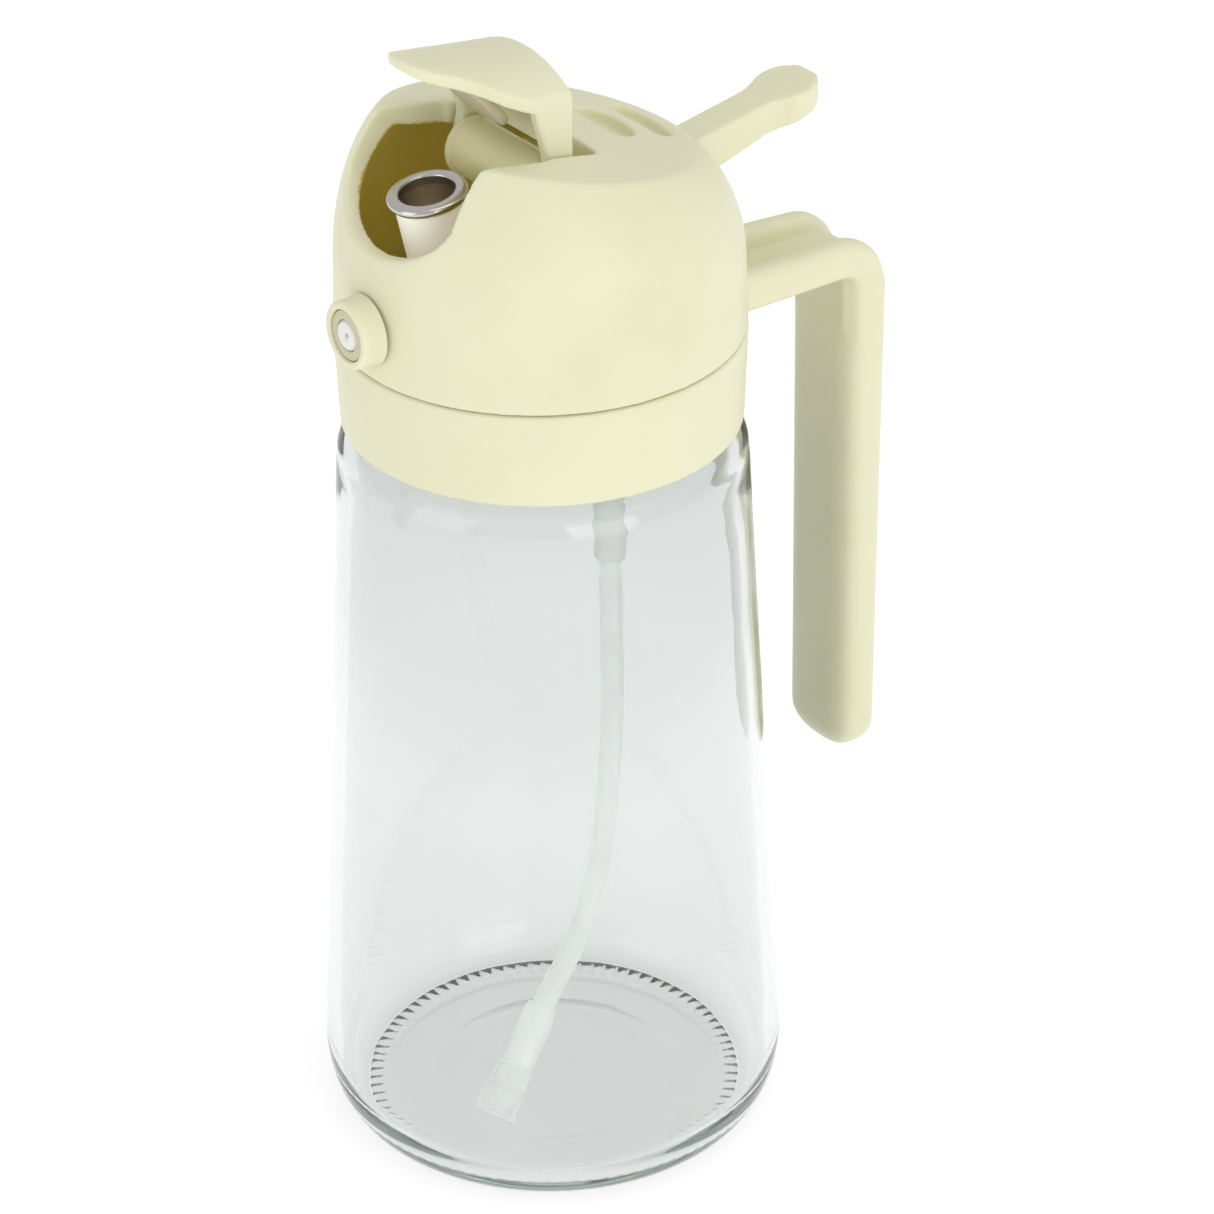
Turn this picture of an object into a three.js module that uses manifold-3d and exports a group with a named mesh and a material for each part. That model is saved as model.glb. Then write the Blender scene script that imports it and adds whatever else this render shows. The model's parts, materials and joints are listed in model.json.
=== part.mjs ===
// A 2-in-1 kitchen oil bottle: a conical glass bottle with a screw-on head that pours and sprays.
// Millimetres, +Z up. The origin is on the bottle's axis at its base. The nozzle faces -Y, the handle +Y.
import * as THREE from "three";
import { mergeVertices } from "three/addons/utils/BufferGeometryUtils.js";
import Module from "manifold-3d";

const wasm = await Module();
wasm.setup();

// ---------------------------------------------------------------- driving dimensions
const GAP = 0.3; // clearance between neighbouring pieces

const GLASS = {
  baseRadius: 40,
  heelRadius: 11.8,
  heelWidth: 6.5, // how far the outer heel curve comes in
  innerHeelWidth: 6,
  shoulderRadius: 34,
  shoulderZ: 126,
  neckRadius: 26.4,
  neckTop: 147.6,
  wall: 2.4,
  floorZ: 3.2,
  beadRadius: 27.4,
};
const COLLAR = { bottomZ: 133.3, topZ: 149.4, bottomRadius: 33, topRadius: 33.6, innerRadius: 28.4 };
const DECK = { bottomZ: 149.8, topZ: 152.4, radius: 27.8 };
const DOME = {
  bottomZ: 149.7,
  bottomRadius: 33.6,
  waistZ: 161,
  waistRadius: 33.2,
  creaseRadius: 25.2,
  arcSweep: THREE.MathUtils.degToRad(57),
  topZ: 183.5, // height of the sloping top face on the axis
  topSlope: 0.205, // fall of the top face for each millimetre towards the handle
  wall: 2.4,
};
const WINDOW = { halfWidth: 13.7, lobeHalfWidth: 14.2, lobeZ: 180, sillZ: 171.2, rearY: 2.4 };
const SPOUT = { rimY: -21.2, rimZ: 177.9, lean: THREE.MathUtils.degToRad(10), topRadius: 5.5, bottomRadius: 4.6 };
const RIM = { outerRadius: 6.6, innerRadius: 4.5, height: 2.4 };
const HINGE = { y: -6, z: 178.8, barrelRadius: 4.9, pinRadius: 1.6, barrelHalfLength: 10 };
const LID = {
  halfWidth: 12.8,
  rearY: -2,
  rearZ: 198.7, // top of the plate, on the middle line at its rear edge
  rise: 0.12, // climb of the middle line for each millimetre towards the tip
  tipFlare: 1, // extra climb at the tip
  archRadius: 22,
  rearThickness: 2.9,
  tipThickness: 2,
  legThickness: 2.4,
  // Half widths at distances from the rear edge.
  plan: [[12.8, 0], [12.8, 4], [12.8, 7.5], [11.3, 11.5], [8.8, 15], [6.7, 18.5], [5.5, 21.3], [3.7, 23.3], [1, 24.2]],
};
const PAD = { thickness: 1.6, halfWidth: 6.2, halfLength: 5.7, y: -12.9, z: 191.9, tilt: -49 };
const LEVER = {
  pivotY: -3,
  pivotZ: 161.5,
  halfWidth: 3.6,
  discY: 49.6,
  discRadius: 5.6,
  pinRadius: 1.5,
  // The lever seen from the side, as [y, z] points from the pivot out along its underside and back over its top.
  side: [[-6.6, 160], [-4.6, 158.4], [20, 165.8], [27.5, 166.6], [55.2, 175.3], [55.2, 179.4], [27.5, 174.3],
    [20, 171.1], [-5.5, 163.2], [-6.6, 162]],
};
const PUMP = { y: 13.6, bodyRadius: 5.6, boreRadius: 4.3, topZ: 156.6, floorZ: 118, nippleZ: 101, nippleRadius: 2.5 };
const PISTON = { rodRadius: 2.4, topZ: 162.6, headBottomZ: 148.6, headTopZ: 152.6, headRadius: 4.1 };
const NOZZLE = { z: 158.4, faceY: -37.6, outerRadius: 5.65, recessRadius: 4.35, insertRadius: 2.5, stemRadius: 2.9 };
const HANDLE = {
  railX: 7.4,
  railHalfWidth: 2.6,
  railHalfHeight: 3.6,
  railStartY: 34.3,
  railStartZ: 147.2,
  railEndZ: 146.4,
  gripY: 62.2,
  gripHalfWidth: 9,
  gripHalfDepth: 5,
  gripBottomZ: 47,
  gripTopZ: 141.3,
  gripTaper: 0.94, // the grip's size at the bottom, as a share of its size at the top
  cornerRadius: 9,
  cornerY: 65.6, // the rails' outermost point, where they turn down into the grip
  lugY: 34.05,
  lugBottomZ: 144.45,
  lugTopZ: 159,
};
const SCREW = { z: [152.9, 157], radius: 0.9, headRadius: 1.7 };
const VENT = { x: -14, y: 8, radius: 1.3 };
const SPRING = { turns: 7, stepsPerTurn: 9, radius: 3.3, wireRadius: 0.4 };
const TUBE = { radius: 2, boreRadius: 1.2 };
// The dip tube's centre line, from the pump's nipple down to the strainer.
const TUBE_ROUTE = [
  [0, 13.6, 110],
  [0, 13.7, 92],
  [0, 13.6, 70],
  [0.5, 11.4, 49.4],
  [1.5, 8.6, 39.7],
  [3, 4.6, 32.6],
  [4.6, -0.4, 27.2],
  [6.6, -6.2, 22.4],
  [9.6, -14, 15],
];
const FOOT_END = [12.6, -21.6, 8.6];
// The spray line's centre, from the pump's outlet round the spout to the nozzle.
const SPRAY_ROUTE = [
  [2.6, 4.6, 154.7],
  [9.4, 3, 155],
  [10.6, -6, 155.4],
  [9.4, -16, 156.4],
  [4.6, -23.2, 158],
];

// ---------------------------------------------------------------- solids
const vec = (p) => new THREE.Vector3(...p);

function toSolid(geometry) {
  const bare = geometry.index ? geometry.toNonIndexed() : geometry.clone();
  const clean = new THREE.BufferGeometry().setAttribute("position", bare.getAttribute("position"));
  const merged = mergeVertices(clean, 1e-3);
  const mesh = new wasm.Mesh({
    numProp: 3,
    vertProperties: new Float32Array(merged.attributes.position.array),
    triVerts: new Uint32Array(merged.index.array),
  });
  return new wasm.Manifold(mesh);
}

function toGeometry(solid) {
  const { vertProperties, triVerts } = solid.getMesh();
  const geometry = new THREE.BufferGeometry();
  geometry.setAttribute("position", new THREE.BufferAttribute(new Float32Array(vertProperties), 3));
  geometry.setIndex(new THREE.BufferAttribute(new Uint32Array(triVerts), 1));
  const faceted = geometry.toNonIndexed();
  faceted.computeVertexNormals();
  return faceted;
}

const join = (first, ...others) => others.reduce((sum, next) => sum.add(next), first);
const cut = (first, ...others) => others.reduce((rest, next) => rest.subtract(next), first);

function box(low, high) {
  const size = vec(high).sub(vec(low));
  const centre = vec(high).add(vec(low)).multiplyScalar(0.5);
  return toSolid(new THREE.BoxGeometry(...size).translate(...centre));
}

// A round bar or cone from one point to another.
function rod(from, to, radius, endRadius = radius, sides = 24) {
  const start = vec(from);
  const run = vec(to).sub(start);
  const shape = new THREE.CylinderGeometry(endRadius, radius, run.length(), sides);
  shape.translate(0, run.length() / 2, 0);
  shape.applyQuaternion(new THREE.Quaternion().setFromUnitVectors(new THREE.Vector3(0, 1, 0), run.normalize()));
  return toSolid(shape.translate(...start));
}

// A solid of revolution about +Z, from [radius, z] points that run from the bottom up to the top.
function revolve(profile, sides = 48) {
  const points = profile.map(([radius, z]) => new THREE.Vector2(radius, z));
  return toSolid(new THREE.LatheGeometry(points, sides).rotateX(Math.PI / 2));
}

const ring = (outer, inner, bottomZ, topZ, sides = 40) =>
  revolve([[inner, bottomZ], [outer, bottomZ], [outer, topZ], [inner, topZ], [inner, bottomZ]], sides);

// A prism of a closed outline. The outline lies in XY and rises along +Z.
function prism(outline, height) {
  const shape = new THREE.Shape(outline.map(([x, y]) => new THREE.Vector2(x, y)));
  return new THREE.ExtrudeGeometry(shape, { depth: height, bevelEnabled: false, steps: 1 });
}

// The same prism with the outline in XZ and its length along Y, starting at lowY.
const prismAlongY = (outline, lowY, length) =>
  toSolid(prism(outline, length).rotateX(Math.PI / 2).translate(0, lowY + length, 0));

// The same prism with the outline in YZ, centred on x = 0.
const prismAlongX = (outline, halfLength) =>
  toSolid(
    prism(outline, 2 * halfLength)
      .applyMatrix4(new THREE.Matrix4().set(0, 0, 1, 0, 1, 0, 0, 0, 0, 1, 0, 0, 0, 0, 0, 1))
      .translate(-halfLength, 0, 0),
  );

// A hose of round section along a smooth curve, open at both ends.
function hose(points, radius, boreRadius, steps, sides = 10) {
  const section = new THREE.Shape().absarc(0, 0, radius, 0, 2 * Math.PI);
  section.holes.push(new THREE.Path().absarc(0, 0, boreRadius, 0, 2 * Math.PI));
  const path = new THREE.CatmullRomCurve3(points.map(vec));
  return toSolid(new THREE.ExtrudeGeometry(section, { steps, extrudePath: path, curveSegments: sides }));
}

function ellipsePoints(halfWidth, halfDepth, power, count) {
  return Array.from({ length: count }, (_, i) => {
    const angle = (2 * Math.PI * i) / count;
    const bend = (value) => Math.sign(value) * Math.abs(value) ** (2 / power);
    return [halfWidth * bend(Math.cos(angle)), halfDepth * bend(Math.sin(angle))];
  });
}

// A solid from stacked rings of the same number of points, closed by a fan at each end.
function loft(rings) {
  const count = rings[0].length;
  const middle = (points) => points.reduce((sum, p) => sum.add(p), new THREE.Vector3()).divideScalar(count);
  const vertices = [...rings.flat(), middle(rings[0]), middle(rings.at(-1))];
  const faces = [];
  const bottomCentre = rings.length * count;
  for (let i = 0; i < count; i++) {
    const next = (i + 1) % count;
    faces.push(bottomCentre, next, i);
    for (let level = 0; level < rings.length - 1; level++) {
      const low = level * count;
      const high = low + count;
      faces.push(low + i, low + next, high + next, low + i, high + next, high + i);
    }
    const last = (rings.length - 1) * count;
    faces.push(last + i, last + next, bottomCentre + 1);
  }
  const geometry = new THREE.BufferGeometry();
  geometry.setAttribute("position", new THREE.Float32BufferAttribute(vertices.flatMap((v) => [v.x, v.y, v.z]), 3));
  geometry.setIndex(faces);
  return toSolid(geometry);
}

// ---------------------------------------------------------------- glass bottle
function glassBottle() {
  const g = GLASS;
  const coneSlope = (g.baseRadius - g.shoulderRadius) / (g.shoulderZ - g.heelRadius);
  const heel = [];
  const heelSteps = 5;
  for (let i = 0; i <= heelSteps; i++) {
    const angle = (Math.PI / 2) * (i / heelSteps);
    heel.push([
      g.baseRadius - g.heelWidth * (1 - Math.sin(angle)),
      g.heelRadius * (1 - Math.cos(angle)),
    ]);
  }
  const shoulder = [
    [g.shoulderRadius, g.shoulderZ],
    [g.shoulderRadius - 0.7, g.shoulderZ + 3.2],
    [g.shoulderRadius - 2.4, g.shoulderZ + 5],
    [g.neckRadius + 2.4, g.shoulderZ + 6],
    [g.neckRadius, g.shoulderZ + 7.6],
  ];
  const neck = [
    [g.neckRadius, 138],
    [g.beadRadius, 138.8],
    [g.beadRadius, 139.6],
    [g.neckRadius, 140.4],
    [g.neckRadius, g.neckTop],
  ];
  const outer = revolve([[0, 0], ...heel, ...shoulder, ...neck, [0, g.neckTop]]);
  const innerLow = g.baseRadius - g.wall;
  const innerHeel = [];
  for (let i = 0; i <= heelSteps; i++) {
    const angle = (Math.PI / 2) * (i / heelSteps);
    innerHeel.push([
      innerLow - g.innerHeelWidth * (1 - Math.sin(angle)),
      g.floorZ + (g.heelRadius - g.floorZ) * (1 - Math.cos(angle)),
    ]);
  }
  const neckBore = g.neckRadius - g.wall;
  const inner = revolve([
    [0, g.floorZ + 0.5],
    [innerLow - 14, g.floorZ],
    ...innerHeel,
    [g.shoulderRadius - g.wall - coneSlope, g.shoulderZ],
    [neckBore + 2, g.shoulderZ + 4.6],
    [neckBore, g.shoulderZ + 7.6],
    [neckBore, g.neckTop + 1],
    [0, g.neckTop + 1],
  ]);
  return cut(outer, inner);
}

// ---------------------------------------------------------------- collar, gasket and deck
function collar() {
  const c = COLLAR;
  const ridge = c.innerRadius - 0.6;
  const profile = [
    [c.innerRadius, c.bottomZ],
    [c.bottomRadius, c.bottomZ],
    [c.topRadius, c.topZ],
    [c.innerRadius, c.topZ],
    [c.innerRadius, 137.6],
    [ridge, 137],
    [ridge, 136.2],
    [c.innerRadius, 135.6],
    [c.innerRadius, c.bottomZ],
  ];
  return revolve(profile);
}

const neckGasket = () => ring(GLASS.neckRadius, GLASS.neckRadius - 4, GLASS.neckTop + GAP, DECK.bottomZ - GAP);

function deck() {
  const d = DECK;
  const cheek = (side) => {
    const low = side * (LEVER.halfWidth + 0.7);
    const high = side * (LEVER.halfWidth + 3);
    const ear = [
      [LEVER.pivotY - 3.4, d.topZ - 0.5],
      [LEVER.pivotY + 3.4, d.topZ - 0.5],
      [LEVER.pivotY + 3.4, LEVER.pivotZ + 1.8],
      [LEVER.pivotY + 1.8, LEVER.pivotZ + 3.4],
      [LEVER.pivotY - 1.8, LEVER.pivotZ + 3.4],
      [LEVER.pivotY - 3.4, LEVER.pivotZ + 1.8],
    ];
    const middle = (low + high) / 2;
    return prismAlongX(ear, Math.abs(high - low) / 2).translate([middle, 0, 0]);
  };
  const plate = revolve([[0, d.bottomZ], [d.radius, d.bottomZ], [d.radius, d.topZ], [0, d.topZ]]);
  const foot = spoutPoint(d.topZ + GAP - SPOUT.rimZ);
  const spoutHole = rod([0, foot[1], d.bottomZ - 1], [0, foot[1], d.topZ + 1], SPOUT.bottomRadius + GAP);
  const pumpHole = rod([0, PUMP.y, d.bottomZ - 1], [0, PUMP.y, d.topZ + 1], PUMP.bodyRadius + GAP);
  const ventHole = rod([VENT.x, VENT.y, d.bottomZ - 1], [VENT.x, VENT.y, d.topZ + 1], VENT.radius + GAP);
  const bore = LEVER.pinRadius + 0.05;
  const pinHole = rod([-9, LEVER.pivotY, LEVER.pivotZ], [9, LEVER.pivotY, LEVER.pivotZ], bore);
  return cut(join(plate, cheek(1), cheek(-1)), spoutHole, pumpHole, ventHole, pinHole);
}

// ---------------------------------------------------------------- dome
const topFace = (y) => DOME.topZ - DOME.topSlope * y;

// One ring of the dome's skin. Its level runs from 0 at the waist to 1 at the crease of the top face.
function domeRing(level, inset, count) {
  const d = DOME;
  const turn = level * d.arcSweep;
  const pull = (1 - Math.cos(turn)) / (1 - Math.cos(d.arcSweep));
  const radius = d.waistRadius - (d.waistRadius - d.creaseRadius) * pull - inset;
  return Array.from({ length: count }, (_, i) => {
    const angle = (2 * Math.PI * i) / count;
    const [x, y] = [radius * Math.cos(angle), radius * Math.sin(angle)];
    const crease = topFace(d.creaseRadius * Math.sin(angle)) - inset;
    return new THREE.Vector3(x, y, d.waistZ + ((crease - d.waistZ) * Math.sin(turn)) / Math.sin(d.arcSweep));
  });
}

function domeSkin(inset, bottomZ) {
  const count = 48;
  const levels = 7;
  const flat = (radius, z) =>
    Array.from({ length: count }, (_, i) => {
      const angle = (2 * Math.PI * i) / count;
      return new THREE.Vector3(radius * Math.cos(angle), radius * Math.sin(angle), z);
    });
  const rings = [flat(DOME.bottomRadius - inset, bottomZ)];
  for (let i = 0; i <= levels; i++) rings.push(domeRing(i / levels, inset, count));
  return loft(rings);
}

function windowCutter() {
  const w = WINDOW;
  const outline = [[w.halfWidth, 205]];
  const steps = 14;
  for (let i = 0; i <= steps; i++) {
    const angle = (Math.PI * i) / steps;
    outline.push([w.lobeHalfWidth * Math.cos(angle), w.lobeZ - (w.lobeZ - w.sillZ) * Math.sin(angle)]);
  }
  outline.push([-w.halfWidth, 205]);
  return prismAlongY(outline.reverse(), -45, w.rearY + 45);
}

// Two shallow grip pockets behind the lid.
function topPockets() {
  const depth = 1.5;
  const pocket = (lowY, highY, halfWidth) => {
    const outline = [
      [lowY, topFace(lowY) - depth],
      [highY, topFace(highY) - depth],
      [highY, topFace(highY) + 4],
      [lowY, topFace(lowY) + 4],
    ];
    return prismAlongX(outline, halfWidth);
  };
  return [pocket(10.8, 15.6, 6.8), pocket(18.8, 22.2, 7.4)];
}

// The slot that the lever swings down in, at the back of the dome.
const leverSlot = () => prismAlongX([[24, 159], [40, 159], [40, 178.2], [24, 174.4]], LEVER.halfWidth + 0.5);

function dome() {
  const shell = cut(domeSkin(0, DOME.bottomZ), domeSkin(DOME.wall, DOME.bottomZ - 2));
  const nozzleHole = rod([0, -28, NOZZLE.z], [0, -40, NOZZLE.z], NOZZLE.stemRadius + GAP);
  const screwHoles = SCREW.z.map((z) => rod([0, 28, z], [0, 36, z], SCREW.radius + GAP, undefined, 16));
  return cut(shell, windowCutter(), ...topPockets(), leverSlot(), nozzleHole, ...screwHoles);
}

// ---------------------------------------------------------------- pour spout
// A point on the spout's axis, at a distance along it from the rim.
const spoutPoint = (distance) => [
  0,
  SPOUT.rimY - distance * Math.tan(SPOUT.lean),
  SPOUT.rimZ + distance,
];

function pourSpout() {
  const s = SPOUT;
  const base = spoutPoint(DECK.topZ + GAP - s.rimZ);
  const step = spoutPoint(DECK.topZ + 4 - s.rimZ);
  const top = spoutPoint(-0.2);
  const plug = [0, base[1], DECK.bottomZ + 0.1];
  const flare = rod(step, top, s.bottomRadius, s.topRadius, 32);
  const flange = rod([0, base[1], DECK.topZ + GAP], [0, base[1], DECK.topZ + 1.8], 6.4, undefined, 32);
  const root = rod([0, base[1], DECK.topZ + 1.5], step, s.bottomRadius + 0.6, s.bottomRadius, 32);
  const spigot = rod(plug, [0, base[1], DECK.topZ + 1], s.bottomRadius, undefined, 32);
  const below = [0, base[1], DECK.bottomZ - 1];
  const lowBore = rod(below, [0, base[1], DECK.topZ + 2], 3.3, undefined, 24);
  const bore = rod([0, base[1], DECK.topZ + 1.2], spoutPoint(1), 3.3, 4.2, 24);
  return cut(join(flare, flange, root, spigot), lowBore, bore);
}

function spoutRim() {
  const r = RIM;
  const half = r.height / 2;
  const profile = [
    [r.innerRadius, 0.15],
    [r.outerRadius, 0.15],
    [r.outerRadius, half - 0.4],
    [r.outerRadius - 0.5, half],
    [r.innerRadius + 0.5, half],
    [r.innerRadius, half - 0.4],
    [r.innerRadius, 0.15],
  ];
  return revolve(profile, 36).rotate([(SPOUT.lean * 180) / Math.PI, 0, 0]).translate([0, SPOUT.rimY, SPOUT.rimZ]);
}

// ---------------------------------------------------------------- lid
// One cross section of the lid's arched plate: over the top from +X to -X, then back along the underside.
function lidSection(halfWidth, distance) {
  const l = LID;
  const steps = 10;
  const share = distance / l.plan.at(-1)[1];
  const crest = l.rearZ + l.rise * distance + l.tipFlare * share ** 4;
  const thickness = l.rearThickness + (l.tipThickness - l.rearThickness) * share;
  const top = Array.from({ length: steps + 1 }, (_, i) => {
    const x = halfWidth * (1 - (2 * i) / steps);
    const droop = l.archRadius - Math.sqrt(l.archRadius ** 2 - x ** 2);
    return new THREE.Vector3(x, l.rearY - distance, crest - droop);
  });
  const under = top.map((p) => new THREE.Vector3(p.x, p.y, p.z - thickness)).reverse();
  return [...top, ...under];
}

// Two legs carry the lid on its pin. A panel joins them behind the pad, and a boss holds the pad.
function lid() {
  const l = LID;
  const plate = loft(l.plan.map(([halfWidth, distance]) => lidSection(halfWidth, distance)));
  const leg = (side) => {
    const outline = [
      [HINGE.y - 2.4, HINGE.z],
      [HINGE.y - 1.6, HINGE.z - 2.4],
      [HINGE.y + 1.6, HINGE.z - 2.4],
      [HINGE.y + 2.8, HINGE.z],
      [l.rearY - 0.1, HINGE.z + 5.2],
      [l.rearY - 0.1, l.rearZ - 4.4],
      [l.rearY - 7.5, l.rearZ - 4.2],
      [l.rearY - 7, l.rearZ - 6.5],
      [HINGE.y - 1, HINGE.z + 5.6],
    ];
    const middle = side * (l.halfWidth - l.legThickness / 2);
    return prismAlongX(outline, l.legThickness / 2).translate([middle, 0, 0]);
  };
  const reach = l.halfWidth - l.legThickness + 0.5;
  const panel = box([-reach, l.rearY - 2.4, HINGE.z + 5.8], [reach, l.rearY - 0.5, l.rearZ - 4.9]);
  const middlePanel = box([-reach + 3, l.rearY - 2.3, HINGE.z + 6.2], [reach - 3, l.rearY - 0.6, l.rearZ - 1.6]);
  const boss = placePad(rod([0, 0, PAD.thickness + GAP], [0, 0, 7.4], 2.6, undefined, 20));
  const bore = HINGE.pinRadius + 0.05;
  const pinHole = rod([-20, HINGE.y, HINGE.z], [20, HINGE.y, HINGE.z], bore);
  return cut(join(plate, leg(1), leg(-1), panel, middlePanel, boss), pinHole);
}

// The pad's own frame has its sealing face at z = 0. It lies on the spout's rim when the lid is closed.
const placePad = (solid) => solid.rotate([PAD.tilt, 0, 0]).translate([0, PAD.y, PAD.z]);

const lidPad = () => placePad(toSolid(prism(ellipsePoints(PAD.halfWidth, PAD.halfLength, 3, 28), PAD.thickness)));

function hingeBarrel() {
  const h = HINGE;
  const end = h.barrelHalfLength;
  const tube = rod([-end, h.y, h.z], [end, h.y, h.z], h.barrelRadius, undefined, 32);
  const lip = rod([-end, h.y, h.z], [-end + 1, h.y, h.z], h.barrelRadius + 0.3, undefined, 32);
  const web = box([-8, h.y, h.z - 3.4], [8, WINDOW.rearY + 3.4, h.z - 0.6]);
  const bore = rod([-end - 1, h.y, h.z], [end + 1, h.y, h.z], h.pinRadius + 0.05);
  return cut(join(tube, lip, web), bore);
}

const lidPin = () => rod([-12.6, HINGE.y, HINGE.z], [12.6, HINGE.y, HINGE.z], HINGE.pinRadius);

// ---------------------------------------------------------------- lever
// A bar with a round thumb disc at its end, cut to its side outline.
function lever() {
  const l = LEVER;
  const [lowZ, highZ] = [l.pivotZ - 10, l.pivotZ + 30];
  const bar = box([-l.halfWidth, -10, lowZ], [l.halfWidth, l.discY, highZ]);
  const disc = rod([0, l.discY, lowZ], [0, l.discY, highZ], l.discRadius, undefined, 36);
  const body = join(bar, disc).intersect(prismAlongX(l.side, l.discRadius + 1));
  const bore = l.pinRadius + 0.05;
  return cut(body, rod([-9, l.pivotY, l.pivotZ], [9, l.pivotY, l.pivotZ], bore));
}

const leverPin = () => rod([-6.6, LEVER.pivotY, LEVER.pivotZ], [6.6, LEVER.pivotY, LEVER.pivotZ], LEVER.pinRadius);

// ---------------------------------------------------------------- pump
const upright = (radius, lowZ, highZ, endRadius = radius, sides = 28) =>
  rod([0, PUMP.y, lowZ], [0, PUMP.y, highZ], radius, endRadius, sides);

function pumpBarrel() {
  const p = PUMP;
  const body = upright(p.bodyRadius, p.floorZ - 2, p.topZ);
  const flange = upright(p.bodyRadius + 2.4, DECK.topZ + GAP, DECK.topZ + 1.6);
  const taper = upright(p.nippleRadius + 0.3, p.floorZ - 5, p.floorZ - 1.9, p.bodyRadius);
  const nipple = upright(p.nippleRadius + 0.3, p.nippleZ, p.floorZ - 4.9);
  const bore = upright(p.boreRadius, p.floorZ, p.topZ + 1);
  const inlet = upright(1.3, p.nippleZ + 2, p.floorZ + 1, 1.3, 16);
  const tubeSocket = upright(TUBE.radius + 0.2, p.nippleZ - 1, 110.6, undefined, 20);
  const outlet = rod([0, PUMP.y - 3, 154.6], [0, PUMP.y - 9, 154.6], 0.7, undefined, 12);
  const outer = join(body, flange, taper, nipple);
  return cut(outer, bore, inlet, tubeSocket, outlet);
}

function piston() {
  const p = PISTON;
  const head = upright(p.headRadius, p.headBottomZ, p.headTopZ);
  const groove = cut(upright(p.headRadius + 1, 149.7, 151.3), upright(p.headRadius - 1, 149, 152));
  const shaft = upright(p.rodRadius, p.headBottomZ, p.topZ, p.rodRadius - 0.2);
  return cut(join(head, shaft), groove);
}

const pistonSeal = () =>
  cut(upright(PUMP.boreRadius - 0.05, 149.9, 151.1), upright(PISTON.headRadius - 0.8, 149, 152));

// The return spring stands between the barrel's floor and the piston.
function pumpSpring() {
  const [low, high] = [PUMP.floorZ + 4.1, PISTON.headBottomZ - 0.9];
  const steps = SPRING.turns * SPRING.stepsPerTurn;
  const points = Array.from({ length: steps + 1 }, (_, i) => {
    const angle = (2 * Math.PI * i) / SPRING.stepsPerTurn;
    const z = low + ((high - low) * i) / steps;
    return [SPRING.radius * Math.cos(angle), PUMP.y + SPRING.radius * Math.sin(angle), z];
  });
  const wire = new THREE.Shape().absarc(0, 0, SPRING.wireRadius, 0, 2 * Math.PI);
  const path = new THREE.CatmullRomCurve3(points.map(vec));
  return toSolid(new THREE.ExtrudeGeometry(wire, { steps, extrudePath: path, curveSegments: 2 }));
}

const valveBall = () => toSolid(new THREE.SphereGeometry(1.7, 16, 10).translate(0, PUMP.y, PUMP.floorZ + 2));

// ---------------------------------------------------------------- spray line and nozzle
const sprayHose = () => hose(SPRAY_ROUTE, 1.4, 0.6, 26, 4);

function nozzleBody() {
  const n = NOZZLE;
  const stem = rod([0, -26, n.z], [0, n.faceY + 4, n.z], n.stemRadius, undefined, 28);
  const back = rod([0, -24.4, n.z], [0, -28.6, n.z], n.stemRadius + 0.8, undefined, 28);
  const bore = rod([0, -25.4, n.z], [0, n.faceY, n.z], 1.2, undefined, 16);
  const inlet = rod([0, -26.6, n.z], [3.2, -24.4, n.z - 0.4], 0.8, undefined, 12);
  return cut(join(stem, back), bore, inlet);
}

function alongY(profile, sides = 40) {
  return revolve(profile, sides).rotate([90, 0, 0]).translate([0, 0, NOZZLE.z]);
}

function nozzleBezel() {
  const n = NOZZLE;
  const skin = 33.5;
  const face = -n.faceY;
  const profile = [
    [n.stemRadius + GAP, skin],
    [n.outerRadius + 0.4, skin],
    [n.outerRadius, skin + 0.8],
    [n.outerRadius, face - 0.5],
    [n.outerRadius - 0.5, face],
    [n.recessRadius, face],
    [n.recessRadius, face - 2.2],
    [n.stemRadius + GAP, face - 2.2],
    [n.stemRadius + GAP, skin],
  ];
  return alongY(profile);
}

const nozzleRetainer = () => {
  const back = -NOZZLE.faceY - 1.9;
  const front = -NOZZLE.faceY - 0.5;
  const [outer, inner] = [NOZZLE.recessRadius - 0.2, NOZZLE.insertRadius + 0.2];
  return alongY([[inner, back], [outer, back], [outer, front], [inner, front], [inner, back]]);
};

const nozzleInsert = () => {
  const back = -NOZZLE.faceY - 3.2;
  const front = -NOZZLE.faceY - 0.3;
  const orifice = 0.4;
  const profile = [
    [orifice, back],
    [NOZZLE.insertRadius, back],
    [NOZZLE.insertRadius, front - 0.6],
    [NOZZLE.insertRadius - 0.8, front],
    [orifice, front],
    [orifice, back],
  ];
  return alongY(profile, 28);
};

// ---------------------------------------------------------------- handle
// A rail runs out from the collar and turns down into the grip. Its rings are listed from the grip back.
function handleRail(x) {
  const h = HANDLE;
  const section = ellipsePoints(h.railHalfWidth, h.railHalfHeight, 3, 16);
  const slab = (y, z, tilt) =>
    section.map(([u, w]) => new THREE.Vector3(x + u, y + w * Math.sin(tilt), z + w * Math.cos(tilt)));
  const bendY = h.cornerY - h.cornerRadius;
  const reach = h.cornerRadius - h.railHalfHeight;
  const rings = [slab(h.railStartY, h.railStartZ, 0), slab(bendY, h.railEndZ, 0)];
  const steps = 5;
  for (let i = 1; i <= steps; i++) {
    const angle = (Math.PI / 2) * (i / steps);
    rings.push(slab(bendY + reach * Math.sin(angle), h.railEndZ - reach * (1 - Math.cos(angle)), angle));
  }
  return loft(rings.reverse());
}

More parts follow.
